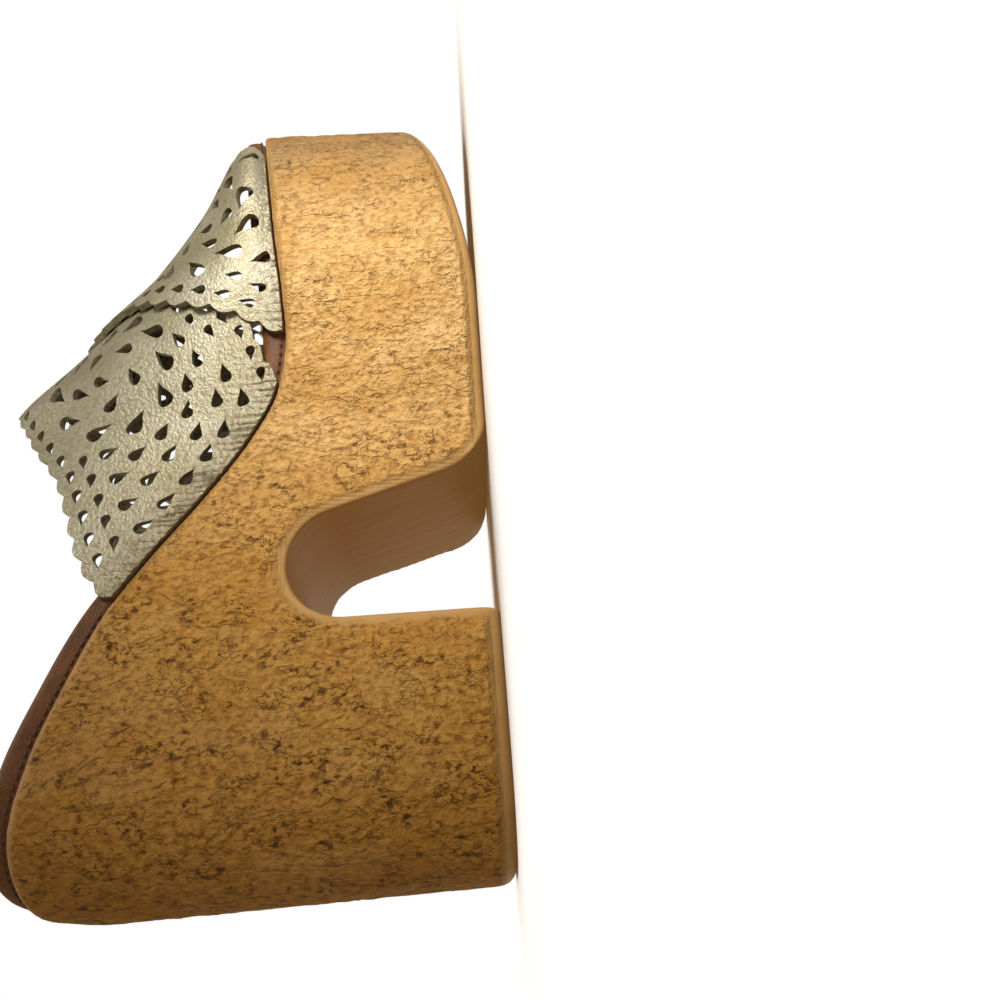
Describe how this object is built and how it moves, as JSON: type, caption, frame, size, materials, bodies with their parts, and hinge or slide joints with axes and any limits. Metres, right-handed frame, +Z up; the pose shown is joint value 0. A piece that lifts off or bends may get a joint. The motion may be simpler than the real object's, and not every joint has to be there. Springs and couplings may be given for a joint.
{
  "type": "platform slide sandal",
  "caption": "Left platform slide sandal: cork-covered sole with a high block heel and a rounded notch, leather footbed, crossed perforated metallic straps.",
  "frame": {"origin": "on the ground under the middle of the sandal's bounding box", "axes": "+X from heel to toe, +Y to the shoe's outer side, +Z up"},
  "size_m": [0.2398, 0.0942, 0.1416],
  "materials": {
    "natural_cork": "matt sanded cork",
    "chestnut_leather": "semi-gloss",
    "metallic_leather": "pebbled champagne metallic"
  },
  "bodies": {
    "root": {"cork_sole": "natural_cork", "footbed": "chestnut_leather", "crossed_straps": "metallic_leather"}
  },
  "joints": []
}
